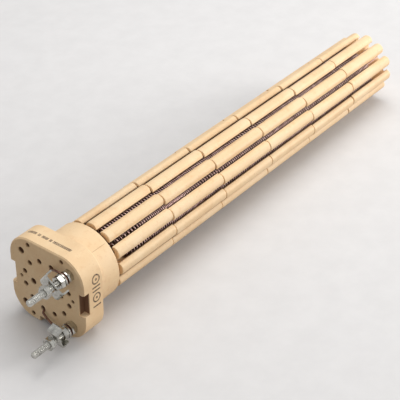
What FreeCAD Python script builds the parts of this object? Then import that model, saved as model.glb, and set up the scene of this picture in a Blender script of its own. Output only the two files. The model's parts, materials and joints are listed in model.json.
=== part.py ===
import FreeCAD, Part
import math
import os

# A bobbin heating element: a steatite plate with two screw terminals, a round
# collar behind it, and a row of ribbed steatite segments on a tie rod, with one
# resistance coil that runs up and down their channels. Sizes are in millimetres.
#
# The element's axis is X, from the head towards the tail. The origin is on the
# axis, in the plane of the shoulder behind the head's plate. Z is up as the
# element lies, and the terminals are on the near side, towards -Y.

# Head plate, with a round pad on its back that the collar sits on
plate_side = 55.4
plate_thickness = 16.0
plate_corner_radius = 15.6
plate_edge_chamfer = 0.8
pad_height = 1.5

# Notches at the front edge of three sides of the plate
notch_width = 15.0
notch_depth = 4.0
notch_length = 4.5

# Collar, and the ring channel in its back face
collar_step = 0.5
collar_length = 19.0
collar_edge_chamfer = 0.9
collar_wall = 2.3
ring_channel_depth = 5.0
boss_step = 1.1
rib_gap_behind_collar = 2.4

# Holes in the plate's face
lead_hole_diameter = 3.4
small_hole_diameter = 3.0
small_hole_depth = 7.0
shallow_hole_depth = 1.4
small_hole_y = 12.5
small_hole_z = 24.0
side_hole_diameter = 2.4
side_hole_radius = 19.4
inner_hole_diameter = 4.2
inner_hole_radius = 10.2
inner_hole_depth = 9.0

# Ribbed segments
segment_count = 6
segment_length = 49.0
rib_count = 12
rib_cover = 2.9
rib_shoulder_drop = 2.1
rib_end_chamfer = 0.5
rib_joint_gap = 0.5
slot_width = 2.8
channel_diameter = 6.2
channel_circle_radius = 17.0
core_step = 0.5

# Heating coil and the wire between its runs
coil_clearance = 0.3
coil_head_inset = 2.4
late_coil_inset = 9.8
late_coil_slot = 5
coil_tail_inset = 20.0
wire_diameter = 0.8
wire_sides = 6
link_lift = 0.1
long_link_clearance = 1.4
long_link_depth = 3.8
lead_diameter = 1.4
lead_face_lift = 1.6
lead_loop_step = 45.0
lead_loop_turns = 6
upper_loop_start = 90.0
lower_loop_start = 270.0

# Screws, nuts and washers of the terminals and of the tie rod
thread_diameter = 4.0
nut_across_flats = 7.0
nut_height = 3.2
head_height = 2.8
thread_clearance = 0.02
screw_hole_clearance = 0.2
washer_diameter = 8.0
washer_thickness = 0.8
washer_bore_clearance = 0.15
screw_end_chamfer = 0.6

# Terminals
terminal_offset = 18.0
screw_reach = 31.5
screw_head_sink = 0.4
screw_head_clearance = 0.15
saddle_stand_off = 4.0
saddle_length = 15.0
saddle_width = 7.4
saddle_sheet = 1.0
saddle_tab = 4.4
saddle_bend_radius = 1.2
saddle_bore_clearance = 0.6
outer_nut_stand_off = 2.5
upper_saddle_turn = 38.0
upper_saddle_tilt = 4.0
lower_saddle_turn = 97.0
lower_saddle_tilt = 23.0
upper_nut_turn = 10.0
lower_nut_turn = 25.0
nut_turn_step = 17.0

# Ways of the two lead wires over the face: the share of the rise to the loop,
# what the point is measured from, and its distances along Y and Z
upper_lead_way = [(0.4, "hole", -4.1, 2.2), (1.0, "terminal", 5.5, 3.4)]
lower_lead_way = [
    (0.2, "hole", -3.9, -3.1),
    (0.6, "terminal", 11.5, -3.4),
    (1.0, "terminal", 5.0, -3.4),
]

# Tie rod
tie_bore_clearance = 0.6
tie_recess_depth = 4.8
tie_recess_clearance = 0.3
tie_rod_end_stand_out = 2.0

# Radii that follow from the channels
channel_radius = channel_diameter / 2
rib_crown_radius = channel_circle_radius + channel_radius + rib_cover
rib_shoulder_radius = rib_crown_radius - rib_shoulder_drop
core_radius = channel_circle_radius - channel_radius - core_step
boss_radius = channel_circle_radius - channel_radius - boss_step
collar_radius = rib_crown_radius + collar_step

# Places along the axis that follow from the sizes
face_x = -plate_thickness
ring_floor_x = collar_length - ring_channel_depth
first_segment_x = collar_length + rib_gap_behind_collar
tail_x = first_segment_x + segment_count * segment_length
rib_end_inset = rib_joint_gap / 2

# Angles: a rib is at the top, and a channel lies half a step beside it
rib_step = 360.0 / rib_count
slot_angles = [rib_step * (number + 0.5) for number in range(rib_count)]
lead_slot_out = 3
lead_slot_back = 9

AXIS = FreeCAD.Vector(1, 0, 0)


def at(x, y, z):
    return FreeCAD.Vector(x, y, z)


def polar(x, radius, angle):
    """A point at a radius from the element's axis; the angle turns from +Y to +Z."""
    turn = math.radians(angle)
    return at(x, radius * math.cos(turn), radius * math.sin(turn))


def cylinder(radius, x_start, x_end, y=0.0, z=0.0):
    return Part.makeCylinder(radius, x_end - x_start, at(x_start, y, z), AXIS)


def extruded(edges, x_start, x_end):
    """A prism along the axis from edges that lie in the plane X = 0."""
    face = Part.Face(Part.Wire(Part.__sortEdges__(edges)))
    solid = face.extrude(at(x_end - x_start, 0, 0))
    solid.translate(at(x_start, 0, 0))
    return solid


def revolved(corners):
    """A body of revolution about the element's axis, from (x, radius) corners."""
    points = [at(x, 0, radius) for x, radius in corners]
    outline = [line(points[number - 1], points[number]) for number in range(len(points))]
    return Part.Face(Part.Wire(outline)).revolve(at(0, 0, 0), AXIS, 360)


def line(start, end):
    return Part.LineSegment(start, end).toShape()


def arc(start, middle, end):
    return Part.Arc(start, middle, end).toShape()


def ring_of_points(count, radius, turn=0.0):
    """Corners of a regular polygon in the plane X = 0."""
    return [polar(0, radius, 360.0 / count * number + turn) for number in range(count)]


def polygon(corners):
    return [line(corners[number - 1], corners[number]) for number in range(len(corners))]


def kinked_wire(points, profile):
    """A thin wire in straight runs that meet at mitred corners."""
    route = Part.Wire([line(start, end) for start, end in zip(points, points[1:])])
    return route.makePipeShell([profile], True, False, 1)


def hex_corner(across_flats):
    return across_flats / 2 / math.cos(math.radians(30))


def hex_prism(across_flats, x_start, x_end, y, z, turn=0.0):
    solid = extruded(polygon(ring_of_points(6, hex_corner(across_flats), turn)), x_start, x_end)
    solid.translate(at(0, y, z))
    return solid


def nut(x_start, y, z, turn=0.0):
    body = hex_prism(nut_across_flats, x_start, x_start + nut_height, y, z, turn)
    bore = cylinder(thread_diameter / 2 + thread_clearance, x_start, x_start + nut_height, y, z)
    return body.cut(bore)


def washer(x_start, y, z):
    body = cylinder(washer_diameter / 2, x_start, x_start + washer_thickness, y, z)
    bore_radius = thread_diameter / 2 + washer_bore_clearance
    return body.cut(cylinder(bore_radius, x_start, x_start + washer_thickness, y, z))


def rod(x_start, x_end, y, z):
    """A threaded rod at its outer diameter, with both ends chamfered."""
    radius = thread_diameter / 2
    solid = revolved([
        (x_start, 0),
        (x_start, radius - screw_end_chamfer),
        (x_start + screw_end_chamfer, radius),
        (x_end - screw_end_chamfer, radius),
        (x_end, radius - screw_end_chamfer),
        (x_end, 0),
    ])
    solid.translate(at(0, y, z))
    return solid


# Head


def plate():
    half = plate_side / 2
    body = Part.makeBox(plate_thickness, plate_side, plate_side, at(face_x, -half, -half))
    corner_edges = [edge for edge in body.Edges if runs_along_axis(edge)]
    body = body.makeFillet(plate_corner_radius, corner_edges)
    rim_edges = [edge for edge in body.Edges if not runs_along_axis(edge)]
    body = body.makeChamfer(plate_edge_chamfer, rim_edges)
    for turn in (0, 180, 270):
        notch = Part.makeBox(
            notch_length, notch_depth, notch_width, at(face_x, half - notch_depth, -notch_width / 2)
        )
        notch.rotate(at(0, 0, 0), AXIS, turn)
        body = body.cut(notch)
    return body


def runs_along_axis(edge):
    return abs(edge.tangentAt(edge.FirstParameter).x) > 0.5


def terminal_places():
    """The four screw places, from the upper near corner round by the lower one."""
    step = terminal_offset
    return [(-step, step), (-step, -step), (step, -step), (step, step)]


def lead_holes(x_start, x_end):
    holes = []
    for angle in slot_angles:
        place = polar(0, channel_circle_radius, angle)
        holes.append(cylinder(lead_hole_diameter / 2, x_start, x_end, place.y, place.z))
    return holes


def small_holes():
    holes = []
    for y_side in (-1, 1):
        for z_side in (-1, 1):
            is_shallow = y_side < 0 and z_side > 0
            depth = shallow_hole_depth if is_shallow else small_hole_depth
            y = y_side * small_hole_y
            z = z_side * small_hole_z
            holes.append(cylinder(small_hole_diameter / 2, face_x, face_x + depth, y, z))
        y = y_side * side_hole_radius
        holes.append(cylinder(side_hole_diameter / 2, face_x, face_x + small_hole_depth, y, 0))
        y = y_side * inner_hole_radius
        holes.append(cylinder(inner_hole_diameter / 2, face_x, face_x + inner_hole_depth, y, 0))
    return holes


def head_block():
    """The plate with its pad, its holes, and hexagon pockets in its back for the screw heads."""
    body = plate().fuse(cylinder(collar_radius, face_x / 2, pad_height))
    cuts = lead_holes(face_x, pad_height) + small_holes()
    screw_hole_radius = thread_diameter / 2 + screw_hole_clearance
    pocket_flats = nut_across_flats + 2 * screw_head_clearance
    for y, z in terminal_places():
        cuts.append(cylinder(screw_hole_radius, face_x, 0, y, z))
        cuts.append(hex_prism(pocket_flats, -head_height - screw_head_sink, pad_height, y, z))
    cuts.append(cylinder(thread_diameter / 2 + tie_bore_clearance, face_x, pad_height))
    recess_radius = hex_corner(nut_across_flats) + tie_recess_clearance
    cuts.append(cylinder(recess_radius, face_x, face_x + tie_recess_depth))
    return body.cut(cuts).removeSplitter()


def collar_block():
    """The collar, open at its back as a ring channel round the boss that carries the segments."""
    rim = collar_radius - collar_edge_chamfer
    rim_start = collar_length - collar_edge_chamfer
    channel_outer = collar_radius - collar_wall
    body = revolved([
        (pad_height, 0),
        (pad_height, collar_radius),
        (rim_start, collar_radius),
        (collar_length, rim),
        (collar_length, channel_outer),
        (ring_floor_x, channel_outer),
        (ring_floor_x, boss_radius),
        (first_segment_x, boss_radius),
        (first_segment_x, 0),
    ])
    tie_bore = cylinder(thread_diameter / 2 + tie_bore_clearance, pad_height, first_segment_x)
    return body.cut(lead_holes(pad_height, ring_floor_x) + [tie_bore])


# Ribbed segments


def slot_point(angle, outward, sideways):
    """A point in a slot's own frame: outward from the axis, and sideways across the slot."""
    turn = math.radians(angle)
    y = outward * math.cos(turn) - sideways * math.sin(turn)
    z = outward * math.sin(turn) + sideways * math.cos(turn)
    return at(0, y, z)


def ribbed_prism(length):
    half_slot = slot_width / 2
    mouth = channel_circle_radius + math.sqrt(channel_radius ** 2 - half_slot ** 2)
    shoulder = math.sqrt(rib_shoulder_radius ** 2 - half_slot ** 2)
    channel_bottom = channel_circle_radius - channel_radius
    edges = []
    for angle in slot_angles:
        rib_start = slot_point(angle - rib_step, shoulder, half_slot)
        rib_crown = polar(0, rib_crown_radius, angle - rib_step / 2)
        rib_end = slot_point(angle, shoulder, -half_slot)
        mouth_in = slot_point(angle, mouth, -half_slot)
        mouth_out = slot_point(angle, mouth, half_slot)
        next_start = slot_point(angle, shoulder, half_slot)
        edges.append(arc(rib_start, rib_crown, rib_end))
        edges.append(line(rib_end, mouth_in))
        edges.append(arc(mouth_in, slot_point(angle, channel_bottom, 0), mouth_out))
        edges.append(line(mouth_out, next_start))
    return extruded(edges, 0, length)


def segment_envelope(length):
    """Takes the edge off the ribs' ends, and leaves the core a little longer than the ribs."""
    start = rib_end_inset
    end = length - rib_end_inset
    return revolved([
        (0, 0),
        (0, core_radius),
        (start, core_radius),
        (start, rib_crown_radius - rib_end_chamfer),
        (start + rib_end_chamfer, rib_crown_radius),
        (end - rib_end_chamfer, rib_crown_radius),
        (end, rib_crown_radius - rib_end_chamfer),
        (end, core_radius),
        (length, core_radius),
        (length, 0),
    ])


def ribbed_segment():
    body = ribbed_prism(segment_length).common(segment_envelope(segment_length))
    bore = cylinder(thread_diameter / 2 + tie_bore_clearance, 0, segment_length)
    return body.cut(bore)


# Heating coil


def coil_start(slot):
    inset = late_coil_inset if slot == late_coil_slot else coil_head_inset
    return first_segment_x + inset


def coil_end():
    return tail_x - coil_tail_inset


def coil_order():
    """The channels in the order in which the wire runs through them."""
    first_half = [(lead_slot_out + number) % rib_count for number in range(6)]
    second_half = [(lead_slot_out - 1 - number) % rib_count for number in range(6)]
    return first_half + second_half


def slot_place(slot, x, radius=channel_circle_radius):
    return polar(x, radius, slot_angles[slot])


def link_wire(points):
    """A link with few flat sides, in straight runs, in place of the round wire."""
    profile = extrusion_profile(points[0], wire_sides, wire_diameter / 2)
    return kinked_wire(points, profile)


def extrusion_profile(place, count, radius):
    corners = [place + corner for corner in ring_of_points(count, radius)]
    return Part.Wire(polygon(corners))


def short_link(slot_a, slot_b, x_a, x_b, x_turn):
    return link_wire([
        slot_place(slot_a, x_a),
        slot_place(slot_a, x_turn),
        slot_place(slot_b, x_turn),
        slot_place(slot_b, x_b),
    ])


def long_link(slot_a, slot_b, x_a, x_b):
    """The link between the two halves, round the boss in the collar's ring channel."""
    x_turn = first_segment_x - long_link_depth
    radius = boss_radius + long_link_clearance + wire_diameter / 2
    points = [slot_place(slot_a, x_a), slot_place(slot_a, x_turn)]
    slot = (slot_a - 1) % rib_count
    while slot != slot_b:
        points.append(slot_place(slot, x_turn, radius))
        slot = (slot - 1) % rib_count
    points.append(slot_place(slot_b, x_turn))
    points.append(slot_place(slot_b, x_b))
    return link_wire(points)


def heating_coil():
    coil_radius = channel_radius - coil_clearance
    order = coil_order()
    pieces = []
    for slot in order:
        place = slot_place(slot, 0)
        pieces.append(cylinder(coil_radius, coil_start(slot), coil_end(), place.y, place.z))
    head_turn = first_segment_x + rib_end_inset - wire_diameter / 2 - link_lift
    tail_turn = tail_x - rib_end_inset + wire_diameter / 2 + link_lift
    for number in range(len(order) - 1):
        slot_a = order[number]
        slot_b = order[number + 1]
        is_middle = number == len(order) // 2 - 1
        if is_middle:
            pieces.append(long_link(slot_a, slot_b, coil_start(slot_a), coil_start(slot_b)))
        elif number % 2 == 0:
            pieces.append(short_link(slot_a, slot_b, coil_end(), coil_end(), tail_turn))
        else:
            pieces.append(short_link(slot_a, slot_b, coil_start(slot_a), coil_start(slot_b), head_turn))
    return pieces[0].fuse(pieces[1:])


# Terminals, each place counted outwards from the head's face


def terminal_layers():
    """Where each piece on a terminal screw begins, measured outwards from the face."""
    thicknesses = [
        ("base_nut", nut_height),
        ("inner_washer", washer_thickness),
        ("wire", lead_diameter),
        ("outer_washer", washer_thickness),
        ("clamp_nut", nut_height),
        ("space", saddle_stand_off),
        ("saddle", saddle_sheet),
        ("free", outer_nut_stand_off),
        ("outer_nut", nut_height),
    ]
    layers = {}
    place = 0.0
    for name, thickness in thicknesses:
        layers[name] = place
        place += thickness
    return layers


def outward(layer, thickness):
    """The X of a piece's outer side, for a piece that begins at a layer."""
    return face_x - layer - thickness


def terminal_screw(y, z):
    head_x = -head_height - screw_head_sink
    shank = rod(face_x - screw_reach, head_x + screw_end_chamfer, y, z)
    head = hex_prism(nut_across_flats, head_x, head_x + head_height, y, z)
    return shank.fuse(head)


def saddle_clamp(y, z, turn, tilt, layer):
    """A loose sheet strip on the screw, with both ends bent back towards the face."""
    half = saddle_length / 2
    outer_bend = saddle_bend_radius + saddle_sheet
    outer_slant = outer_bend * (1 - math.sqrt(0.5))
    inner_slant = saddle_bend_radius * (1 - math.sqrt(0.5))
    inner_half = half - saddle_sheet
    middle = saddle_sheet / 2
    tab_end = middle + saddle_tab

    def p(x, sideways):
        return at(x, sideways, -saddle_width / 2)

    outline = []
    for side in (-1, 1):
        outline.append(arc(
            p(-middle, side * (half - outer_bend)),
            p(-middle + outer_slant, side * (half - outer_slant)),
            p(-middle + outer_bend, side * half),
        ))
        outline.append(line(p(-middle + outer_bend, side * half), p(tab_end, side * half)))
        outline.append(line(p(tab_end, side * half), p(tab_end, side * inner_half)))
        outline.append(line(p(tab_end, side * inner_half), p(middle + saddle_bend_radius, side * inner_half)))
        outline.append(arc(
            p(middle + saddle_bend_radius, side * inner_half),
            p(middle + inner_slant, side * (inner_half - inner_slant)),
            p(middle, side * (inner_half - saddle_bend_radius)),
        ))
    flat = half - outer_bend
    outline.append(line(p(-middle, -flat), p(-middle, flat)))
    outline.append(line(p(middle, -flat), p(middle, flat)))
    strip = Part.Face(Part.Wire(Part.__sortEdges__(outline))).extrude(at(0, 0, saddle_width))
    bore_radius = thread_diameter / 2 + saddle_bore_clearance
    strip = strip.cut(cylinder(bore_radius, -saddle_sheet, saddle_sheet))
    strip.rotate(at(0, 0, 0), at(0, 0, 1), tilt)
    strip.rotate(at(0, 0, 0), AXIS, turn)
    strip.translate(at(outward(layer, middle), y, z))
    return strip


def lead_wire(slot, terminal, way, start_angle, turn_side):
    """From the coil through its lead hole, over the face, and round the terminal screw."""
    y, z = terminal
    loop_lift = terminal_layers()["wire"] + lead_diameter / 2
    wire_middle_radius = thread_diameter / 2 + thread_clearance + lead_diameter / 2 + link_lift
    loop_radius = wire_middle_radius / math.cos(math.radians(lead_loop_step / 2))
    hole = slot_place(slot, face_x - lead_face_lift)
    anchors = {"hole": (hole.y, hole.z), "terminal": terminal}
    points = [slot_place(slot, coil_start(slot)), hole]
    for share, anchor, away_y, away_z in way:
        lift = lead_face_lift + share * (loop_lift - lead_face_lift)
        anchor_y, anchor_z = anchors[anchor]
        points.append(at(face_x - lift, anchor_y + away_y, anchor_z + away_z))
    for number in range(lead_loop_turns + 1):
        around = polar(face_x - loop_lift, loop_radius, start_angle + turn_side * lead_loop_step * number)
        points.append(around + at(0, y, z))
    circle = Part.Circle(points[0], AXIS, lead_diameter / 2).toShape()
    return kinked_wire(points, Part.Wire([circle]))


def terminal_parts(number, place, saddle_turn, saddle_tilt, nut_turn):
    y, z = place
    layers = terminal_layers()
    prefix = "terminal_%d_" % number
    parts = {prefix + "screw": terminal_screw(y, z)}
    for name in ("inner_washer", "outer_washer"):
        parts[prefix + name] = washer(outward(layers[name], washer_thickness), y, z)
    for step, name in enumerate(("base_nut", "clamp_nut", "outer_nut")):
        turn = nut_turn + step * nut_turn_step
        parts[prefix + name] = nut(outward(layers[name], nut_height), y, z, turn)
    parts[prefix + "saddle"] = saddle_clamp(y, z, saddle_turn, saddle_tilt, layers["saddle"])
    return parts


def tie_parts():
    seat_x = face_x + tie_recess_depth
    head_washer_x = seat_x - washer_thickness
    head_nut_x = head_washer_x - nut_height
    tail_washer_x = tail_x
    tail_nut_x = tail_washer_x + washer_thickness
    return {
        "tie_rod": rod(head_nut_x, tail_nut_x + nut_height + tie_rod_end_stand_out, 0, 0),
        "head_tie_washer": washer(head_washer_x, 0, 0),
        "head_tie_nut": nut(head_nut_x, 0, 0),
        "tail_washer": washer(tail_washer_x, 0, 0),
        "tail_nut": nut(tail_nut_x, 0, 0),
    }


def build_parts():
    parts = {"head_block": head_block(), "collar_block": collar_block()}
    pattern = ribbed_segment()
    for number in range(segment_count):
        is_last = number == segment_count - 1
        name = "end_segment" if is_last else "segment_%d" % (number + 1)
        segment = pattern.copy()
        segment.translate(at(first_segment_x + number * segment_length, 0, 0))
        parts[name] = segment
    parts["heating_coil"] = heating_coil()
    upper, lower = terminal_places()[:2]
    parts.update(terminal_parts(1, upper, upper_saddle_turn, upper_saddle_tilt, upper_nut_turn))
    parts.update(terminal_parts(2, lower, lower_saddle_turn, lower_saddle_tilt, lower_nut_turn))
    parts.update(tie_parts())
    parts["lead_wire_1"] = lead_wire(lead_slot_out, upper, upper_lead_way, upper_loop_start, 1)
    parts["lead_wire_2"] = lead_wire(lead_slot_back, lower, lower_lead_way, lower_loop_start, -1)
    return parts


os.makedirs("parts", exist_ok=True)
for name, shape in build_parts().items():
    if not shape.isValid():
        print("not valid:", name)
    print("%-24s solids %d volume %.1f faces %d" % (name, len(shape.Solids), shape.Volume, len(shape.Faces)))
    shape.exportStep(os.path.join("parts", name + ".step"))
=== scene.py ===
import json
import math
import random

import bpy
from mathutils import Matrix, Vector


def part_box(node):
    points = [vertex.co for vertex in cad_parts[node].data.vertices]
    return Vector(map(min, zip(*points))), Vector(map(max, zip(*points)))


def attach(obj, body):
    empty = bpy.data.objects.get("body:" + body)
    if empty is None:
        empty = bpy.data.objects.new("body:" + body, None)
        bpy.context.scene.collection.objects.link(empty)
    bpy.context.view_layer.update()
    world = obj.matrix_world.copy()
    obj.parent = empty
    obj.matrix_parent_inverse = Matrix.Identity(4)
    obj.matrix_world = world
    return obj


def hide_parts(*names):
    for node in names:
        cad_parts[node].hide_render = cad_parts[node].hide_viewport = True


# The looks of a steatite heating element: ceramic, plated hardware, the wound
# coil in its channels, lead wires, ink marks, the floor, the light and the
# camera. Lengths are in metres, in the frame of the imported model.

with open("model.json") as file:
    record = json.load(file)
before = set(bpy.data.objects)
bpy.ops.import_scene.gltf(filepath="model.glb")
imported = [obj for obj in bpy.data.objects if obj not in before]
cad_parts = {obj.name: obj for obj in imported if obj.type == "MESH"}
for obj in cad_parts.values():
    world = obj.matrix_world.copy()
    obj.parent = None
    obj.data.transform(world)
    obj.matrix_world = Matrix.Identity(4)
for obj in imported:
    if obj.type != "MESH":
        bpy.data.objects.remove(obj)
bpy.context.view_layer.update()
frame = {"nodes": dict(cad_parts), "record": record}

MM = 0.001

# Sizes repeated from the part's source
channel_circle_radius = 17.0 * MM
coil_radius = 2.8 * MM
wire_diameter = 0.8 * MM
lead_diameter = 1.4 * MM
thread_diameter = 4.0 * MM
thread_pitch = 0.7 * MM
nut_across_flats = 7.0 * MM
nut_height = 3.2 * MM
head_height = 2.8 * MM
head_sink = 0.4 * MM
washer_thickness = 0.8 * MM
rib_end_inset = 0.25 * MM
rib_crown_radius = 23.0 * MM
rib_shoulder_radius = 20.9 * MM
half_slot = 1.4 * MM
channel_radius = 3.1 * MM
core_radius = 13.4 * MM
tie_bore_radius = 2.6 * MM
segment_length = 49.0 * MM
link_lift = 0.1 * MM
long_link_radius = 14.6 * MM
long_link_depth = 3.8 * MM
coil_head_inset = 2.4 * MM
late_coil_inset = 9.8 * MM
coil_tail_inset = 20.0 * MM
lead_loop_step = 45.0
lead_loop_turns = 6
lead_face_lift = 1.6 * MM
late_coil_slot = 5
rib_count = 12
lead_slot_out = 3
lead_slot_back = 9
thread_clearance = 0.02 * MM
terminal_offset = 18.0 * MM

# How far the first nut of each terminal is turned, and each next one more, in degrees
nut_turns = {1: 10.0, 2: 25.0}
nut_turn_step = 17.0

# How finely the hexagons are built, around and along them
hex_sides = 72
hex_step = 0.18 * MM

# How soft the edge of an ink mark is, to each side
mark_edge = 0.12 * MM

# How far the turns at a run's head end are pulled apart, and those after them pushed together
usual_coil_pull = (0.3, 0.1)
coil_pulls = {4: (0.9, 0.35)}

# Places read from the frame
face_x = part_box("head_block")[0].x
first_segment_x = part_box("segment_1")[0].x
tail_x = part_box("end_segment")[1].x
plate_bottom_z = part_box("head_block")[0].z
rib_bottom_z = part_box("end_segment")[0].z
coil_end_x = tail_x - coil_tail_inset

# A rib is at angle 0, and a channel lies half a step beside it
half_rib_step = math.pi / rib_count
slot_angles = [math.radians(360.0 / rib_count * (number + 0.5)) for number in range(rib_count)]

# The segments sit loosely on their rod, most of them turned a little more than the one before
segment_names = ["segment_%d" % (number + 1) for number in range(5)] + ["end_segment"]
segment_turns = [math.radians(turn) for turn in (0.1, 2.5, 4.4, 5.2, 7.2, 6.3)]


# Meshes


def make_piece(name, vertices, faces, material, smooth=True):
    mesh = bpy.data.meshes.new(name)
    mesh.from_pydata([tuple(v) for v in vertices], [], faces)
    mesh.update()
    for polygon in mesh.polygons:
        polygon.use_smooth = smooth
    piece = bpy.data.objects.new(name, mesh)
    bpy.context.scene.collection.objects.link(piece)
    piece.data.materials.append(material)
    return piece


def set_piece(piece, slot_name, *nodes):
    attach(piece, "root")
    if nodes:
        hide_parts(*nodes)


def cut_corners(points, rounds):
    """A smooth line from a route: each round cuts every corner by a quarter of its runs."""
    for _ in range(rounds):
        smoother = [points[0]]
        for start, end in zip(points, points[1:]):
            smoother.append(start.lerp(end, 0.25))
            smoother.append(start.lerp(end, 0.75))
        smoother.append(points[-1])
        points = smoother
    return points


def wall_faces(first, sides, rings, inward=False):
    """Quads between rings of points that follow each other in the list of vertices."""
    faces = []
    for ring in range(rings - 1):
        for side in range(sides):
            low = first + ring * sides + side
            low_beside = first + ring * sides + (side + 1) % sides
            high, high_beside = low + sides, low_beside + sides
            if inward:
                faces.append((low, high, high_beside, low_beside))
            else:
                faces.append((low, low_beside, high_beside, high))
    return faces


def closed_faces(sides, rings):
    """The faces of a body that is a stack of rings with an end face at both ends."""
    last = (rings - 1) * sides
    ends = [tuple(reversed(range(sides))), tuple(range(last, last + sides))]
    return wall_faces(0, sides, rings) + ends


def tube(points, radius, sides):
    """Vertices and faces of a round tube along a line, closed at both ends."""
    vertices = []
    tangent = (points[1] - points[0]).normalized()
    normal = tangent.orthogonal().normalized()
    for index, point in enumerate(points):
        before = points[max(index - 1, 0)]
        after = points[min(index + 1, len(points) - 1)]
        next_tangent = (after - before).normalized()
        normal = tangent.rotation_difference(next_tangent) @ normal
        tangent = next_tangent
        sideways = tangent.cross(normal)
        for side in range(sides):
            angle = 2 * math.pi * side / sides
            out = normal * math.cos(angle) + sideways * math.sin(angle)
            vertices.append(point + out * radius)
    return vertices, closed_faces(sides, len(points))


def ring_point(x, radius, angle, y=0.0, z=0.0):
    return x, y + radius * math.cos(angle), z + radius * math.sin(angle)


def turned_surface(stations, radius_at, sides, y, z):
    """A closed body about a line along X, from a radius that depends on place and angle."""
    vertices = []
    for x in stations:
        for side in range(sides):
            angle = 2 * math.pi * side / sides
            vertices.append(ring_point(x, radius_at(x, angle), angle, y, z))
    return vertices, closed_faces(sides, len(stations))


# Materials


def new_material(name):
    material = bpy.data.materials.new(name)
    material.use_nodes = True
    nodes = material.node_tree.nodes
    nodes.clear()
    output = nodes.new("ShaderNodeOutputMaterial")
    shader = nodes.new("ShaderNodeBsdfPrincipled")
    material.node_tree.links.new(shader.outputs["BSDF"], output.inputs["Surface"])
    return material, shader


class Tree:
    """Short calls for the node tree of one material."""

    def __init__(self, material):
        self.nodes = material.node_tree.nodes
        self.links = material.node_tree.links

    def link(self, source, target):
        self.links.new(source, target)

    def feed(self, value, socket):
        if isinstance(value, (int, float)):
            socket.default_value = value
        else:
            self.links.new(value, socket)

    def place(self):
        return self.nodes.new("ShaderNodeTexCoord").outputs["Object"]

    def noise(self, place, scale, detail, roughness):
        node = self.nodes.new("ShaderNodeTexNoise")
        node.inputs["Scale"].default_value = scale
        node.inputs["Detail"].default_value = detail
        node.inputs["Roughness"].default_value = roughness
        self.link(place, node.inputs["Vector"])
        return node.outputs["Fac"]

    def stretched(self, place, scale):
        node = self.nodes.new("ShaderNodeMapping")
        node.inputs["Scale"].default_value = scale
        self.link(place, node.inputs["Vector"])
        return node.outputs["Vector"]

    def ramp(self, factor, *stops):
        node = self.nodes.new("ShaderNodeValToRGB")
        while len(node.color_ramp.elements) < len(stops):
            node.color_ramp.elements.new(0.5)
        for element, (position, color) in zip(node.color_ramp.elements, stops):
            element.position = position
            element.color = (*color, 1.0)
        self.link(factor, node.inputs["Fac"])
        return node.outputs["Color"]

    def span(self, value, low, high, to_low=0.0, to_high=1.0):
        node = self.nodes.new("ShaderNodeMapRange")
        node.clamp = True
        self.feed(value, node.inputs["Value"])
        node.inputs["From Min"].default_value = low
        node.inputs["From Max"].default_value = high
        node.inputs["To Min"].default_value = to_low
        node.inputs["To Max"].default_value = to_high
        return node.outputs["Result"]

    def math(self, operation, first, second=0.0):
        node = self.nodes.new("ShaderNodeMath")
        node.operation = operation
        self.feed(first, node.inputs[0])
        self.feed(second, node.inputs[1])
        return node.outputs[0]

    def product(self, value, *others):
        for other in others:
            value = self.math("MULTIPLY", value, other)
        return value

    def largest(self, value, *others):
        for other in others:
            value = self.math("MAXIMUM", value, other)
        return value

    def away(self, value, middle):
        """How far a coordinate lies from a value."""
        return self.math("ABSOLUTE", self.math("SUBTRACT", value, middle))

    def radius(self, first, second):
        squares = self.math("ADD", self.product(first, first), self.product(second, second))
        return self.math("SQRT", squares)

    def mix(self, factor, first, second):
        node = self.nodes.new("ShaderNodeMix")
        node.data_type = "RGBA"
        self.feed(factor, node.inputs["Factor"])
        for value, socket in ((first, node.inputs["A"]), (second, node.inputs["B"])):
            if isinstance(value, tuple):
                socket.default_value = (*value, 1.0)
            else:
                self.link(value, socket)
        return node.outputs["Result"]

    def split(self, place):
        node = self.nodes.new("ShaderNodeSeparateXYZ")
        self.link(place, node.inputs["Vector"])
        return node.outputs["X"], node.outputs["Y"], node.outputs["Z"]

    def bump(self, height, strength, distance):
        node = self.nodes.new("ShaderNodeBump")
        node.inputs["Strength"].default_value = strength
        node.inputs["Distance"].default_value = distance
        self.link(height, node.inputs["Height"])
        return node.outputs["Normal"]


def linear(red, green, blue):
    """A colour given as it looks on a screen, from 0 to 255, as linear light."""
    values = []
    for value in (red, green, blue):
        share = value / 255
        values.append(share / 12.92 if share <= 0.04045 else ((share + 0.055) / 1.055) ** 2.4)
    return tuple(values)


def ceramic_color(tree, place):
    """Cream steatite: a cloudy base, brown and pale blotches, and fine brown specks."""
    cloud = tree.noise(place, 38.0, 4.0, 0.55)
    base = tree.ramp(
        cloud,
        (0.30, linear(238, 203, 158)),
        (0.50, linear(243, 211, 167)),
        (0.72, linear(247, 219, 180)),
    )
    blotch = tree.noise(place, 240.0, 3.0, 0.6)
    color = tree.mix(tree.span(blotch, 0.56, 0.74, 0.0, 0.30), base, linear(222, 172, 118))
    color = tree.mix(tree.span(blotch, 0.42, 0.28, 0.0, 0.35), color, linear(250, 226, 186))
    speck = tree.noise(place, 900.0, 2.0, 0.6)
    color = tree.mix(tree.span(speck, 0.64, 0.76, 0.0, 0.35), color, linear(184, 132, 86))
    return color, cloud


def finish_ceramic(tree, shader, place, color, cloud):
    tree.link(color, shader.inputs["Base Color"])
    tree.link(tree.span(cloud, 0.3, 0.7, 0.50, 0.62), shader.inputs["Roughness"])
    grain = tree.noise(place, 1500.0, 3.0, 0.6)
    wave = tree.noise(place, 260.0, 2.0, 0.5)
    height = tree.math("ADD", tree.product(grain, 0.35), wave)
    tree.link(tree.bump(height, 0.22, 0.00012), shader.inputs["Normal"])
    shader.inputs["Specular IOR Level"].default_value = 0.35


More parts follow.
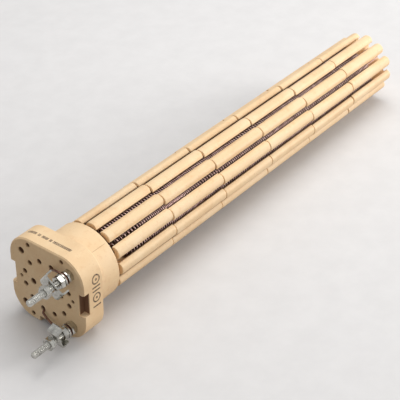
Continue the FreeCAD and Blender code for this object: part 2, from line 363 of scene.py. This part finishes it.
def steatite_material():
    """Ceramic with a mould line on the collar, and stains and painted shade in the channels."""
    material, shader = new_material("steatite")
    tree = Tree(material)
    place = tree.place()
    color, cloud = ceramic_color(tree, place)
    x, y, z = tree.split(place)
    angle = tree.math("ARCTAN2", z, y)

    line_angle = math.radians(128.5)
    line_half_angle, line_half_angle_soft = 0.004, 0.011
    on_line = tree.span(tree.away(angle, line_angle), line_half_angle_soft, line_half_angle)
    line_start = tree.span(x, 5.0 * MM, 7.0 * MM)
    line_end = tree.span(x, 18.0 * MM, 15.0 * MM)
    line = tree.product(on_line, line_start, line_end, 0.55)
    color = tree.mix(line, color, linear(176, 128, 88))

    # Dark brown deep in the channels as far as the hot wire reaches: partly the wire's stain,
    # partly painted shade. One coil starts late, and its channel is clean before it.
    inside = tree.span(tree.radius(y, z), 20.6 * MM, 19.6 * MM)
    stain_and_shade_start = tree.span(x, first_segment_x - 1.0 * MM, first_segment_x)
    stain_and_shade_end = tree.span(x, tail_x - 16.0 * MM, tail_x - 21.0 * MM)
    late_edge = slot_angles[late_coil_slot] - half_rib_step
    edge_fade = math.radians(1.0)
    late_channel = tree.span(angle, late_edge - edge_fade, late_edge + edge_fade)
    before_coil = tree.span(x, first_segment_x + 9.5 * MM, first_segment_x + 7.5 * MM)
    not_clean = tree.math("SUBTRACT", 1.0, tree.product(late_channel, before_coil))
    stain_and_shade = tree.product(inside, stain_and_shade_start, stain_and_shade_end, not_clean, 0.85)
    color = tree.mix(stain_and_shade, color, linear(84, 50, 34))
    finish_ceramic(tree, shader, place, color, cloud)
    return material


def box_mask(tree, first, second, centre, half):
    """1 inside a rectangle in two coordinates, with a slightly soft edge, else 0."""
    inside = []
    for value, middle, size in zip((first, second), centre, half):
        inside.append(tree.span(tree.away(value, middle), size + mark_edge, size - mark_edge))
    return tree.product(*inside)


def ring_mask(tree, first, second, centre, radius, half_width):
    """1 on a ring, or on a dot where its radius is 0, with a slightly soft edge, else 0."""
    across = tree.math("SUBTRACT", first, centre[0])
    along = tree.math("SUBTRACT", second, centre[1])
    away = tree.away(tree.radius(across, along), radius)
    return tree.span(away, half_width + mark_edge, half_width - mark_edge)


def stamp_ink(tree, x, y, z):
    """Rings with dots, and bars, on the plate's near side."""
    side_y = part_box("head_block")[0].y
    stamp_x = -5.6 * MM
    ring_radius, ring_half_width, dot_radius = 2.7 * MM, 0.42 * MM, 0.8 * MM
    bar_half = (3.1 * MM, 0.48 * MM)
    marks = []
    for ring_z in (13.3 * MM, 1.0 * MM):
        marks.append(ring_mask(tree, x, z, (stamp_x, ring_z), ring_radius, ring_half_width))
        marks.append(ring_mask(tree, x, z, (stamp_x, ring_z), 0.0, dot_radius))
    for bar_z in (8.4 * MM, 5.9 * MM, -4.6 * MM):
        marks.append(box_mask(tree, x, z, (stamp_x, bar_z), bar_half))
    on_side = tree.span(y, side_y + 2.6 * MM, side_y + 2.2 * MM)
    return tree.product(tree.largest(*marks), on_side)


def print_ink(tree, x, y, z):
    """Groups of short strokes in a row across the plate's top."""
    top_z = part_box("head_block")[1].z
    row_x, half_height = -8.6 * MM, 1.0 * MM
    group_gap = 1.1 * MM
    stroke_pitch = 0.9 * MM
    groups = []
    mark_y = 18.5 * MM
    for length in (6.3, 1.8, 4.5, 1.8, 13.0):
        half = length * MM / 2
        mark_y -= half
        groups.append(box_mask(tree, x, y, (row_x, mark_y), (half_height, half)))
        mark_y -= half + group_gap
    # The shift keeps the phase of the strokes above zero
    shifted = tree.math("ADD", y, 0.1)
    phase = tree.math("FRACT", tree.math("DIVIDE", shifted, stroke_pitch))
    stroke = tree.span(tree.away(phase, 0.5), 0.42, 0.32)
    on_top = tree.span(z, top_z - 3.0 * MM, top_z - 2.6 * MM)
    return tree.product(tree.largest(*groups), stroke, on_top)


def hole_shade(tree, x, y, z):
    """1 inside the plate's holes and notches, else 0."""
    off_y, off_z = tree.math("ABSOLUTE", y), tree.math("ABSOLUTE", z)
    far = tree.largest(off_y, off_z)
    near = tree.math("MINIMUM", off_y, off_z)
    small_hole_y = 12.5 * MM
    middle_holes = tree.span(far, 23.3 * MM, 22.9 * MM)
    small_holes = tree.product(
        tree.span(tree.away(off_y, small_hole_y), 2.4 * MM, 2.0 * MM),
        tree.span(far, 26.6 * MM, 26.0 * MM),
    )
    notches = tree.product(
        tree.span(far, 23.3 * MM, 23.5 * MM),
        tree.span(far, 27.3 * MM, 26.9 * MM),
        tree.span(near, 7.5 * MM, 7.3 * MM),
    )
    behind_face = tree.span(x, face_x + 0.2 * MM, face_x + 1.2 * MM)
    within_corners = tree.span(tree.radius(y, z), 29.5 * MM, 29.0 * MM)
    holes = tree.largest(middle_holes, small_holes, notches)
    return tree.product(holes, behind_face, within_corners)


def head_material():
    """The head's ceramic, with generic ink marks where the object has print, and painted shade in
    its holes and notches.
    """
    material, shader = new_material("steatite_head")
    tree = Tree(material)
    place = tree.place()
    color, cloud = ceramic_color(tree, place)
    x, y, z = tree.split(place)
    patchy = tree.span(tree.noise(place, 1400.0, 2.0, 0.6), 0.34, 0.56, 0.55, 1.0)
    marks = tree.largest(stamp_ink(tree, x, y, z), print_ink(tree, x, y, z))
    color = tree.mix(tree.product(marks, patchy), color, linear(58, 38, 34))
    # Painted shade inside the holes and notches, in dark brown
    painted_hole_shade = tree.product(hole_shade(tree, x, y, z), 0.9)
    color = tree.mix(painted_hole_shade, color, linear(100, 58, 36))
    finish_ceramic(tree, shader, place, color, cloud)
    return material


def plated_material():
    material, shader = new_material("plated_steel")
    tree = Tree(material)
    place = tree.place()
    patch = tree.noise(place, 420.0, 3.0, 0.6)
    color = tree.ramp(
        patch,
        (0.30, linear(162, 160, 154)),
        (0.55, linear(194, 193, 187)),
        (0.75, linear(214, 211, 202)),
    )
    tree.link(color, shader.inputs["Base Color"])
    shader.inputs["Metallic"].default_value = 1.0
    scratch = tree.noise(tree.stretched(place, (600.0, 2600.0, 2600.0)), 1.0, 2.0, 0.5)
    tree.link(tree.span(patch, 0.3, 0.7, 0.10, 0.20), shader.inputs["Roughness"])
    tree.link(tree.bump(scratch, 0.06, 0.00004), shader.inputs["Normal"])
    return material


def coil_material():
    material, shader = new_material("coil_wire")
    tree = Tree(material)
    place = tree.place()
    heat = tree.noise(place, 220.0, 3.0, 0.6)
    color = tree.ramp(
        heat,
        (0.30, linear(150, 118, 110)),
        (0.55, linear(198, 168, 162)),
        (0.78, linear(230, 208, 202)),
    )
    tree.link(color, shader.inputs["Base Color"])
    shader.inputs["Metallic"].default_value = 0.75
    tree.link(tree.span(heat, 0.3, 0.7, 0.30, 0.44), shader.inputs["Roughness"])
    scale = tree.noise(place, 5000.0, 2.0, 0.5)
    tree.link(tree.bump(scale, 0.25, 0.00003), shader.inputs["Normal"])
    return material


def lead_material():
    material, shader = new_material("lead_wire")
    tree = Tree(material)
    place = tree.place()
    heat = tree.noise(place, 320.0, 3.0, 0.6)
    color = tree.ramp(
        heat,
        (0.30, linear(88, 62, 52)),
        (0.55, linear(124, 92, 78)),
        (0.78, linear(162, 130, 112)),
    )
    tree.link(color, shader.inputs["Base Color"])
    shader.inputs["Metallic"].default_value = 0.85
    tree.link(tree.span(heat, 0.3, 0.7, 0.30, 0.46), shader.inputs["Roughness"])
    drawn = tree.noise(place, 4200.0, 2.0, 0.5)
    tree.link(tree.bump(drawn, 0.2, 0.00003), shader.inputs["Normal"])
    return material


def floor_material():
    material, shader = new_material("floor")
    tree = Tree(material)
    place = tree.place()
    fine = tree.noise(place, 60.0, 4.0, 0.6)
    pale = tree.ramp(fine, (0.35, linear(224, 223, 223)), (0.65, linear(228, 227, 227)))
    # The camera and the metal see a pale floor, which throws little light on the object
    rays = tree.nodes.new("ShaderNodeLightPath")
    seen = tree.largest(rays.outputs["Is Camera Ray"], rays.outputs["Is Glossy Ray"])
    color = tree.mix(seen, linear(120, 112, 108), pale)
    tree.link(color, shader.inputs["Base Color"])
    shader.inputs["Roughness"].default_value = 0.7
    return material


materials = {
    "steatite": steatite_material(),
    "steatite_head": head_material(),
    "plated_steel": plated_material(),
    "coil_wire": coil_material(),
    "lead_wire": lead_material(),
}

for entry in frame["record"]["subparts"]:
    node = frame["nodes"][entry["node"]]
    node.data.materials.clear()
    node.data.materials.append(materials[entry["material_slot"]])


# Ribbed segments


def arc_through(first, middle, last, count):
    """Points of the circle arc through three points in a plane, from the first to the last."""
    (ax, ay), (bx, by), (cx, cy) = first, middle, last
    det = 2 * (ax * (by - cy) + bx * (cy - ay) + cx * (ay - by))
    a2, b2, c2 = ax * ax + ay * ay, bx * bx + by * by, cx * cx + cy * cy
    ux = (a2 * (by - cy) + b2 * (cy - ay) + c2 * (ay - by)) / det
    uy = (a2 * (cx - bx) + b2 * (ax - cx) + c2 * (bx - ax)) / det
    radius = math.hypot(ax - ux, ay - uy)
    start = math.atan2(ay - uy, ax - ux)
    sweep = (math.atan2(cy - uy, cx - ux) - start + math.pi) % (2 * math.pi) - math.pi
    points = []
    for step in range(count + 1):
        angle = start + sweep * step / count
        points.append((ux + radius * math.cos(angle), uy + radius * math.sin(angle)))
    return points


def turned_point(point, angle):
    u, v = point
    return u * math.cos(angle) - v * math.sin(angle), u * math.sin(angle) + v * math.cos(angle)


def rib_outline(drop, widen):
    """One rib from channel bottom to channel bottom, with the rib's middle on the first axis.

    Near a rib's end, drop lowers its top, and widen makes the slots beside it wider.
    """
    edge_round = 0.3 * MM
    crown_flatness = 3.2
    crown_steps = 16
    channel_steps = 7
    wide_slot = half_slot + widen
    crown = rib_crown_radius - drop
    top = rib_shoulder_radius - drop
    shoulder = math.sqrt(top ** 2 - (wide_slot + edge_round) ** 2)

    # Half of the rib, in the frame of the slot that follows it: the round channel's bottom,
    # a point on its side and its mouth
    side_share = 0.25
    bottom = channel_circle_radius - channel_radius
    side = channel_circle_radius - channel_radius * side_share
    side_out = channel_radius * math.sqrt(1 - side_share ** 2)
    mouth = channel_circle_radius + math.sqrt(channel_radius ** 2 - half_slot ** 2)
    flank = arc_through((bottom, 0.0), (side, -side_out), (mouth, -half_slot), channel_steps)
    # The rounded edge between slot and shoulder, in shares of its radius
    for below, beside in ((1.2, 0.0), (0.3, 0.35), (0.0, 1.0)):
        flank.append((shoulder - edge_round * below, -wide_slot - edge_round * beside))
    flank = [turned_point(point, half_rib_step) for point in flank]

    edge_u, edge_v = flank.pop()
    edge_radius = math.hypot(edge_u, edge_v)
    edge_angle = math.atan2(edge_v, edge_u)
    crown_line = []
    for step in range(crown_steps + 1):
        share = 2 * step / crown_steps - 1
        radius = crown - (crown - edge_radius) * abs(share) ** crown_flatness
        angle = share * edge_angle
        crown_line.append((radius * math.cos(angle), radius * math.sin(angle)))
    other_flank = [(u, -v) for u, v in flank]
    return other_flank + crown_line + flank[::-1]


def segment_ring(x, turn, drop, widen):
    """The outline of all the ribs at one place along a segment."""
    outline = rib_outline(drop, widen)[:-1]
    points = []
    for rib in range(rib_count):
        angle = 2 * math.pi * rib / rib_count + turn
        points += [(x, *turned_point(point, angle)) for point in outline]
    return points


def rounding(distance, radius):
    """How far a rounded edge lies back at a distance from the end."""
    if distance >= radius:
        return 0.0
    return radius - math.sqrt(radius ** 2 - (radius - distance) ** 2)


def make_segment(name, start, turn):
    """A segment: ribs with rounded ends around a core that stands out a little past them."""
    end_round = 0.5 * MM
    head_corner_round = 0.3 * MM
    tail_corner_round = 1.0 * MM
    middle_parts = 4
    end = start + segment_length
    low, high = start + rib_end_inset, end - rib_end_inset
    depths = [depth * MM for depth in (0.0, 0.04, 0.12, 0.26, 0.5, 0.9, 1.4)]
    stations = [low + depth for depth in depths]
    stations += [low + (high - low) * part / middle_parts for part in range(1, middle_parts)]
    stations += [high - depth for depth in reversed(depths)]
    vertices = []
    for x in stations:
        inward = min(x - low, high - x)
        corner_round = head_corner_round if x - low < high - x else tail_corner_round
        drop, widen = rounding(inward, end_round), rounding(inward, corner_round)
        vertices += segment_ring(x, turn, drop, widen)
    first_core = len(vertices)
    ring_count = first_core // len(stations)
    faces = wall_faces(0, ring_count, len(stations))

    # The core's ends and the bore
    arc_steps = 4
    core_count = rib_count * arc_steps
    core_rings = [
        (low, core_radius),
        (start, core_radius),
        (start, tie_bore_radius),
        (end, tie_bore_radius),
        (end, core_radius),
        (high, core_radius),
    ]
    for x, radius in core_rings:
        for number in range(core_count):
            angle = 2 * math.pi * number / core_count - half_rib_step + turn
            vertices.append(ring_point(x, radius, angle))
    faces += wall_faces(first_core, core_count, len(core_rings), inward=True)

    # The ribs' ends
    rib_size = ring_count // rib_count
    last_ring = first_core - ring_count
    last_core = len(vertices) - core_count
    for rib in range(rib_count):
        outer = [(rib * rib_size + number) % ring_count for number in range(rib_size + 1)]
        inner = [(rib * arc_steps + number) % core_count for number in range(arc_steps + 1)]
        faces.append([first_core + number for number in inner] + outer[::-1])
        core_side = [last_core + number for number in reversed(inner)]
        faces.append([last_ring + number for number in outer] + core_side)
    piece = make_piece(name + "_turned", vertices, faces, materials["steatite"], smooth=False)
    set_piece(piece, "steatite", name)


for number, name in enumerate(segment_names):
    make_segment(name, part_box(name)[0].x, segment_turns[number])


# Heating coil


def segment_turn(x):
    """How far the channels are turned at a place along the axis, blended over each joint."""
    blend = 7.0 * MM
    turn = segment_turns[0]
    for number in range(1, len(segment_turns)):
        joint = first_segment_x + number * segment_length
        share = min(1.0, max(0.0, (x - joint) / blend + 0.5))
        share = share * share * (3 - 2 * share)
        turn += share * (segment_turns[number] - segment_turns[number - 1])
    return turn


def slot_place(slot, x, radius=channel_circle_radius):
    return Vector(ring_point(x, radius, slot_angles[slot] + segment_turn(x)))


def coil_start(slot):
    return first_segment_x + (late_coil_inset if slot == late_coil_slot else coil_head_inset)


def pitch_weights(slot, turns):
    """How long each turn of a run is against the others, as pushed and pulled by hand."""
    # Height and number of the waves along a run
    waves = ((0.16, 2.3), (0.12, 5.1), (0.05, 19.0))
    jitter = 0.05
    pull_width = 0.05
    push_middle, push_width = 0.19, 0.08
    pulled, pushed = coil_pulls.get(slot, usual_coil_pull)
    draw = random.Random(40 + slot)
    phases = [draw.uniform(0, 2 * math.pi) for _ in waves]
    first_angle = draw.uniform(0, 2 * math.pi)
    weights = []
    for turn in range(turns):
        share = turn / turns
        weight = 1.0
        for (height, count), phase in zip(waves, phases):
            weight += height * math.sin(2 * math.pi * count * share + phase)
        weight += draw.uniform(-jitter, jitter)
        weight += pulled * math.exp(-(share / pull_width) ** 2)
        weight -= pushed * math.exp(-((share - push_middle) / push_width) ** 2)
        weights.append(weight)
    return weights, first_angle


def helix_line(slot, start, end):
    """A helix in one channel, whose ends run in to its middle."""
    mean_pitch = 1.8 * MM
    steps_per_turn = 14
    ramp_turns = 0.8
    middle_radius = coil_radius - wire_diameter / 2
    turns = round((end - start) / mean_pitch)
    weights, first_angle = pitch_weights(slot, turns)
    unit = (end - start) / sum(weights)
    places = [start]
    for weight in weights:
        places.append(places[-1] + weight * unit)
    points = []
    for step in range(turns * steps_per_turn + 1):
        turn = step / steps_per_turn
        low = min(int(turn), turns - 1)
        x = places[low] + (places[low + 1] - places[low]) * (turn - low)
        ramp = min(1.0, turn / ramp_turns, (turns - turn) / ramp_turns)
        radius = middle_radius * (1 - (1 - ramp) ** 2)
        angle = first_angle + 2 * math.pi * turn
        out = Vector((0, math.cos(angle), math.sin(angle)))
        points.append(slot_place(slot, x) + out * radius)
    return points


def coil_order():
    """The slots in the order in which the wire runs through them."""
    half = rib_count // 2
    first_half = [(lead_slot_out + number) % rib_count for number in range(half)]
    second_half = [(lead_slot_out - 1 - number) % rib_count for number in range(half)]
    return first_half + second_half


def long_link_route(slot_a, slot_b):
    """The way of the link that passes behind the slots between the coil's two halves."""
    x_turn = first_segment_x - long_link_depth
    points = [slot_place(slot_a, coil_start(slot_a)), slot_place(slot_a, x_turn)]
    slot = slot_a
    while slot != slot_b:
        slot = (slot - 1) % rib_count
        if slot != slot_b:
            points.append(slot_place(slot, x_turn, long_link_radius))
    points.append(slot_place(slot_b, x_turn))
    points.append(slot_place(slot_b, coil_start(slot_b)))
    return points


def short_link_route(slot_a, slot_b, end_a, end_b, x_turn):
    return [
        slot_place(slot_a, end_a),
        slot_place(slot_a, x_turn),
        slot_place(slot_b, x_turn),
        slot_place(slot_b, end_b),
    ]


def make_coil():
    order = coil_order()
    head_turn = first_segment_x + rib_end_inset - wire_diameter / 2 - link_lift
    tail_turn = tail_x - rib_end_inset + wire_diameter / 2 + link_lift
    for number, slot in enumerate(order):
        line = helix_line(slot, coil_start(slot), coil_end_x)
        vertices, faces = tube(line, wire_diameter / 2, 6)
        piece = make_piece("coil_run_%d" % (number + 1), vertices, faces, materials["coil_wire"])
        # The first run takes the place of the node for the whole coil
        nodes = ["heating_coil"] if number == 0 else []
        set_piece(piece, "coil_wire", *nodes)
    for number, (slot_a, slot_b) in enumerate(zip(order, order[1:])):
        if number == len(order) // 2 - 1:
            route = long_link_route(slot_a, slot_b)
        elif number % 2 == 0:
            route = short_link_route(slot_a, slot_b, coil_end_x, coil_end_x, tail_turn)
        else:
            start_a, start_b = coil_start(slot_a), coil_start(slot_b)
            route = short_link_route(slot_a, slot_b, start_a, start_b, head_turn)
        vertices, faces = tube(cut_corners(route, 4), wire_diameter / 2, 8)
        piece = make_piece("coil_link_%d" % (number + 1), vertices, faces, materials["coil_wire"])
        set_piece(piece, "coil_wire")


make_coil()


# Lead wires


def lead_route(slot, terminal, approach, start_angle, loop_angles):
    """From a coil's end through its hole, over the face, and in a loop round a screw."""
    y, z = terminal
    loop_lift = nut_height + washer_thickness + lead_diameter / 2
    loop_radius = thread_diameter / 2 + thread_clearance + lead_diameter / 2 + link_lift
    # The loop's corners lie outside, because they are cut later
    reach = loop_radius / math.cos(math.radians(lead_loop_step / 2))
    points = [slot_place(slot, coil_start(slot)), slot_place(slot, face_x - lead_face_lift)]
    for share, place_y, place_z in approach:
        lift = lead_face_lift + share * (loop_lift - lead_face_lift)
        points.append(Vector((face_x - lift, place_y, place_z)))
    for loop_angle in loop_angles:
        angle = math.radians(start_angle + loop_angle)
        points.append(Vector(ring_point(face_x - loop_lift, reach, angle, y, z)))
    return points


def make_lead(name, route):
    vertices, faces = tube(cut_corners(route, 4), lead_diameter / 2, 12)
    piece = make_piece(name + "_bent", vertices, faces, materials["lead_wire"])
    set_piece(piece, "lead_wire", name)


terminals = {1: (-terminal_offset, terminal_offset), 2: (-terminal_offset, -terminal_offset)}

# Places on the face that a lead passes: share of the way up to its loop, y and z
upper_approach = [(0.4, -8.5 * MM, 18.6 * MM), (1.0, -12.5 * MM, 21.4 * MM)]
lower_approach = [
    (0.2, 0.5 * MM, -19.5 * MM),
    (0.6, -6.5 * MM, -21.4 * MM),
    (1.0, -13.0 * MM, -21.4 * MM),
]
loop_up = [number * lead_loop_step for number in range(lead_loop_turns + 1)]
loop_down = [-angle for angle in loop_up]
make_lead("lead_wire_1", lead_route(lead_slot_out, terminals[1], upper_approach, 90, loop_up))
make_lead("lead_wire_2", lead_route(lead_slot_back, terminals[2], lower_approach, 270, loop_down))


# Threads and screws


def thread_radius(x, angle, start, end):
    """A screw thread that runs out at both ends of its rod."""
    depth = 0.38 * MM
    chamfer = 0.6 * MM
    # Over 1, so that the crests are a little flat
    steepness = 1.25
    turn = (x / thread_pitch - angle / (2 * math.pi)) % 1.0
    height = 1 - abs(2 * turn - 1)
    crest = min(1.0, height * steepness)
    full = thread_diameter / 2 - depth * (1 - crest)
    run_in = min(x - start, end - x)
    limit = thread_diameter / 2 - chamfer + max(run_in, 0.0)
    return min(full, limit)


def make_threaded_rod(name, start, end, y, z, node, sides=32):
    steps_per_pitch = 8
    count = int((end - start) / thread_pitch * steps_per_pitch)
    stations = [start + (end - start) * step / count for step in range(count + 1)]
    vertices, faces = turned_surface(
        stations, lambda x, angle: thread_radius(x, angle, start, end), sides, y, z
    )
    piece = make_piece(name, vertices, faces, materials["plated_steel"])
    set_piece(piece, "plated_steel", node)


def hex_radius(angle, turn):
    sector = math.radians(60)
    folded = (angle - turn) % sector - sector / 2
    return nut_across_flats / 2 / math.cos(folded)


def hex_stations(start, end):
    """Places along a hexagon, close to each other where its corners are taken off."""
    near_start = [start, start + hex_step, start + 2 * hex_step]
    return near_start + [end - 2 * hex_step, end - hex_step, end]


def hex_limit(x, angle, start, end, turn):
    """The outside of a hexagon whose corners are taken off by a cone at both ends."""
    taper = 2 * hex_step
    rim_share = 0.985
    rim = nut_across_flats / 2 * rim_share
    corner = nut_across_flats / 2 / math.cos(math.radians(30))
    inward = min(x - start, end - x)
    cone = rim + (corner - rim) * min(1.0, max(inward, 0.0) / taper)
    return min(hex_radius(angle, turn), cone)


def make_screw_head(name, start, end, y, z):
    stations = hex_stations(start, end)
    vertices, faces = turned_surface(
        stations, lambda x, angle: hex_limit(x, angle, start, end, 0.0), hex_sides, y, z
    )
    piece = make_piece(name, vertices, faces, materials["plated_steel"], smooth=False)
    set_piece(piece, "plated_steel")


def make_nut(name, y, z, turn):
    """A nut with taken-off corners and a countersunk bore, in place of its plain node."""
    low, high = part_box(name)
    start, end = low.x, high.x
    sink = 0.3 * MM
    bore = thread_diameter / 2
    # The hexagon's rings have no radius of their own
    outline = [(x, None) for x in hex_stations(start, end)]
    outline += [(end, bore + sink), (end - sink, bore), (start + sink, bore), (start, bore + sink)]
    vertices = []
    for x, fixed in outline:
        for side in range(hex_sides):
            angle = 2 * math.pi * side / hex_sides
            radius = fixed if fixed else hex_limit(x, angle, start, end, turn)
            vertices.append(ring_point(x, radius, angle, y, z))
    faces = wall_faces(0, hex_sides, len(outline))
    # The last ring joins the first
    last = len(vertices) - hex_sides
    for side in range(hex_sides):
        beside = (side + 1) % hex_sides
        faces.append((last + side, last + beside, beside, side))
    steel = materials["plated_steel"]
    piece = make_piece(name + "_chamfered", vertices, faces, steel, smooth=False)
    set_piece(piece, "plated_steel", name)


for number, (y, z) in terminals.items():
    node = "terminal_%d_screw" % number
    tip_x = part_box(node)[0].x
    head_x = -head_height - head_sink
    make_threaded_rod("terminal_%d_thread" % number, tip_x, head_x, y, z, node)
    make_screw_head("terminal_%d_head" % number, head_x, head_x + head_height, y, z)
    for step, nut in enumerate(("base_nut", "clamp_nut", "outer_nut")):
        turn = math.radians(nut_turns[number] + step * nut_turn_step)
        make_nut("terminal_%d_%s" % (number, nut), y, z, turn)

tie_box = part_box("tie_rod")
make_threaded_rod("tie_rod_thread", tie_box[0].x, tie_box[1].x, 0.0, 0.0, "tie_rod", sides=20)
make_nut("head_tie_nut", 0.0, 0.0, 0.0)
make_nut("tail_nut", 0.0, 0.0, 0.0)


# Floor, light and camera


def aimed(obj, place, target, roll=0.0):
    obj.location = place
    look = (target - place).to_track_quat("-Z", "Y")
    turn = Matrix.Rotation(roll, 4, "Z")
    obj.rotation_euler = (look.to_matrix().to_4x4() @ turn).to_euler()


# The element rests on the back edge of its plate and on its tail's lowest rib
floor_low = Vector((-0.9 * MM, 0, plate_bottom_z))
floor_high = Vector((tail_x - 1.5 * MM, 0, rib_bottom_z))
floor_slope = math.atan2(floor_high.z - floor_low.z, floor_high.x - floor_low.x)


def make_floor():
    bpy.ops.mesh.primitive_plane_add(size=12.0)
    floor = bpy.context.object
    floor.name = "floor"
    middle_x = (floor_low.x + floor_high.x) / 2
    drop = 0.1 * MM
    rise = (middle_x - floor_low.x) * math.tan(floor_slope)
    floor.location = (middle_x, 0, floor_low.z + rise - drop)
    floor.rotation_euler = (0, -floor_slope, 0)
    floor.data.materials.append(floor_material())


def make_lamp(name, place, target, size, watts, color):
    data = bpy.data.lights.new(name, "AREA")
    data.shape = "RECTANGLE"
    data.size, data.size_y = size
    data.energy = watts
    data.color = color
    lamp = bpy.data.objects.new(name, data)
    bpy.context.scene.collection.objects.link(lamp)
    aimed(lamp, Vector(place), Vector(target))


def make_light():
    middle = (0.14, 0.0, 0.0)
    make_lamp("key", (0.40, 0.10, 0.95), middle, (0.9, 0.7), 6.0, (1.0, 0.99, 0.98))
    make_lamp("fill", (1.15, -0.85, 0.32), middle, (0.7, 0.6), 14.6, (1.0, 0.98, 0.96))
    make_lamp("face", (-1.0, -0.3, 0.45), middle, (0.7, 0.7), 0.6, (1.0, 0.98, 0.96))
    world = bpy.data.worlds.new("studio")
    bpy.context.scene.world = world
    world.use_nodes = True
    background = world.node_tree.nodes["Background"]
    background.inputs["Color"].default_value = (1.0, 1.0, 1.0, 1.0)
    # Metal reflects a pale room; the room throws little light on the object
    tree = Tree(world)
    glossy = tree.nodes.new("ShaderNodeLightPath").outputs["Is Glossy Ray"]
    tree.link(tree.span(glossy, 0.0, 1.0, 0.42, 0.6), background.inputs["Strength"])


def make_camera():
    photo_width = 400
    focal_pixels = 1245
    data = bpy.data.cameras.new("camera")
    data.sensor_width = 36.0
    data.lens = data.sensor_width * focal_pixels / photo_width
    data.clip_start = 0.02
    data.clip_end = 20.0
    camera = bpy.data.objects.new("camera", data)
    bpy.context.scene.collection.objects.link(camera)
    place = Vector((-0.3900, -0.3952, 0.4333))
    target = Vector((0.1237, 0.0012, -0.0173))
    aimed(camera, place, target, math.radians(0.32))
    bpy.context.scene.camera = camera


make_floor()
make_light()
make_camera()
bpy.context.scene.view_settings.view_transform = "Standard"
